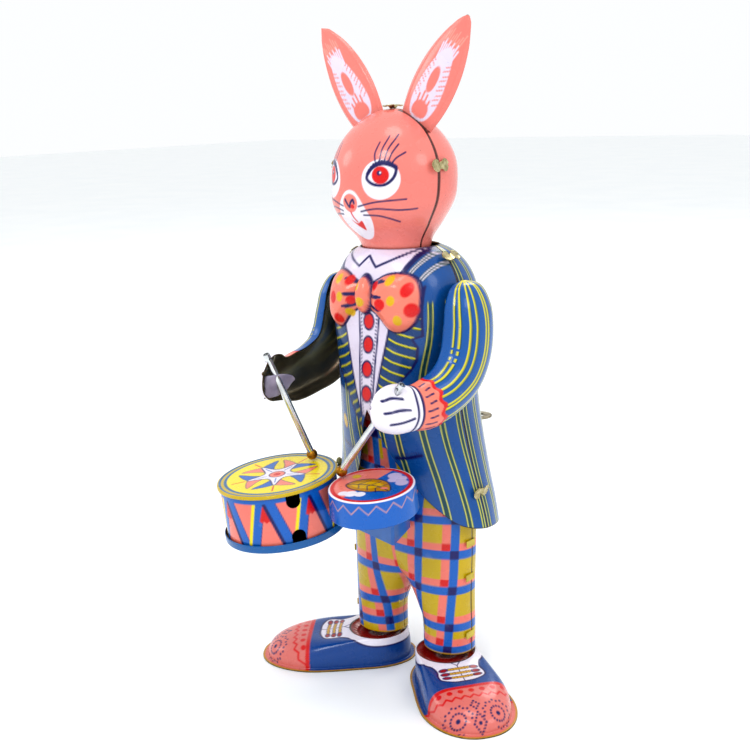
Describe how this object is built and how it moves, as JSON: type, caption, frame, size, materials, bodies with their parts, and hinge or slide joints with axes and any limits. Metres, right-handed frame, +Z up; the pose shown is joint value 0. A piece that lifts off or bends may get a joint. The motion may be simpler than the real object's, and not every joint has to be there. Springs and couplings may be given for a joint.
{
  "type": "wind-up drumming rabbit toy",
  "caption": "Wind-up tin rabbit in a striped coat and checked trousers; hinged arms beat a big and a small drum, with a geared spring motor and key.",
  "frame": {"origin": "on the floor under the middle of the bounding box", "axes": "+Z up, the rabbit faces -Y, +X to the rabbit's left"},
  "size_m": [0.1192, 0.1118, 0.2504],
  "materials": {
    "tin_salmon": "gloss lithograph ink on pressed tin, salmon pink with a printed face",
    "tin_blue": "gloss lithograph ink on pressed tin, blue with yellow lines",
    "tin_plaid": "gloss lithograph ink on pressed tin, yellow, blue and pink check",
    "tin_shoe": "gloss lithograph ink on pressed tin, blue with a pink toe cap",
    "tin_yellow": "gloss lithograph ink on pressed tin, yellow drum head",
    "tin_drum_blue": "gloss blue enamel on pressed tin",
    "tin_lilac": "gloss pale lilac ink on tin",
    "bare_tin": "bare tinplate, dull gold lacquer",
    "steel": "bright plated steel",
    "spring_steel": "blued spring steel",
    "brass": "machined brass",
    "gold_ball": "gold lacquered ball"
  },
  "bodies": {
    "frame": {"coat_front": "tin_blue", "coat_back": "tin_blue", "coat_clips": "bare_tin", "trousers_front": "tin_plaid", "trousers_back": "tin_plaid", "trouser_clips": "tin_plaid", "left_shoe": "tin_shoe", "right_shoe": "tin_shoe", "ankle_tabs": "bare_tin", "big_drum_shell": "tin_salmon", "big_drum_head": "tin_yellow", "big_drum_base": "tin_drum_blue", "small_drum_cup": "tin_drum_blue", "small_drum_base": "bare_tin", "drum_bracket": "tin_drum_blue", "drum_rivets": "bare_tin", "shoulder_axle": "steel", "axle_hanger": "steel", "axle_washers": "steel", "neck_post": "steel", "neck_collar": "steel", "neck_bridge": "steel", "motor_front_plate": "steel", "motor_back_plate": "steel", "motor_pillars": "steel", "mainspring": "spring_steel"},
    "head": {"head_front": "tin_salmon", "head_back": "tin_salmon", "left_ear": "tin_salmon", "right_ear": "tin_salmon", "head_clips": "bare_tin", "neck_socket": "steel"},
    "left_arm": {"left_arm": "tin_blue", "left_finger_flap": "tin_lilac", "left_arm_hub": "steel", "left_drumstick": "steel", "left_stick_ball": "gold_ball"},
    "right_arm": {"right_arm": "tin_blue", "right_finger_flap": "tin_lilac", "right_arm_hub": "steel", "right_drumstick": "steel", "right_stick_ball": "gold_ball"},
    "key": {"winding_arbor": "steel", "winding_key": "steel", "ratchet_wheel": "brass"},
    "great": {"great_wheel": "brass", "click_pin": "steel"},
    "click": {"ratchet_click": "steel"},
    "second": {"second_arbor": "steel", "second_pinion": "brass", "second_wheel": "brass", "drum_cam": "brass"},
    "escape": {"escape_arbor": "steel", "escape_pinion": "brass", "escape_wheel": "brass"},
    "pallet": {"pallet": "steel", "pallet_arbor": "steel"}
  },
  "joints": [
    {"name": "head_turn", "type": "hinge", "parent": "frame", "child": "head", "pos_m": [0, 0.0105, 0.1695], "axis": [0, 0, 1], "range_deg": [-15, 15]},
    {"name": "left_arm_beat", "type": "hinge", "parent": "frame", "child": "left_arm", "pos_m": [0.03, 0.0142, 0.15], "axis": [-1, 0, 0], "range_deg": [0, 25]},
    {"name": "right_arm_beat", "type": "hinge", "parent": "frame", "child": "right_arm", "pos_m": [-0.03, 0.0142, 0.15], "axis": [-1, 0, 0], "range_deg": [0, 25]},
    {"name": "great_turn", "type": "hinge", "parent": "frame", "child": "great", "pos_m": [0, 0.0225, 0.097], "axis": [0, 1, 0], "continuous": true},
    {"name": "key_turn", "type": "hinge", "parent": "frame", "child": "key", "pos_m": [0, 0.033, 0.097], "axis": [0, 1, 0], "continuous": true},
    {"name": "click_lift", "type": "hinge", "parent": "great", "child": "click", "pos_m": [0.008, 0.0238, 0.097], "axis": [0, 1, 0], "range_deg": [0, 10], "stiffness_Nm_per_rad": 0.0004, "springref_deg": -5.73},
    {"name": "second_turn", "type": "hinge", "parent": "frame", "child": "second", "pos_m": [0, 0.024, 0.11532], "axis": [0, 1, 0], "continuous": true},
    {"name": "escape_turn", "type": "hinge", "parent": "frame", "child": "escape", "pos_m": [0.011, 0.026, 0.1248], "axis": [0, 1, 0], "continuous": true},
    {"name": "pallet_rock", "type": "hinge", "parent": "frame", "child": "pallet", "pos_m": [0.0014, 0.026, 0.1288], "axis": [0, 1, 0], "range_deg": [-6, 6]}
  ],
  "couplings": [
    {"joint": "key_turn", "follows": "great_turn", "ratio": 1},
    {"joint": "second_turn", "follows": "great_turn", "ratio": -3.3333},
    {"joint": "escape_turn", "follows": "great_turn", "ratio": 10}
  ]
}
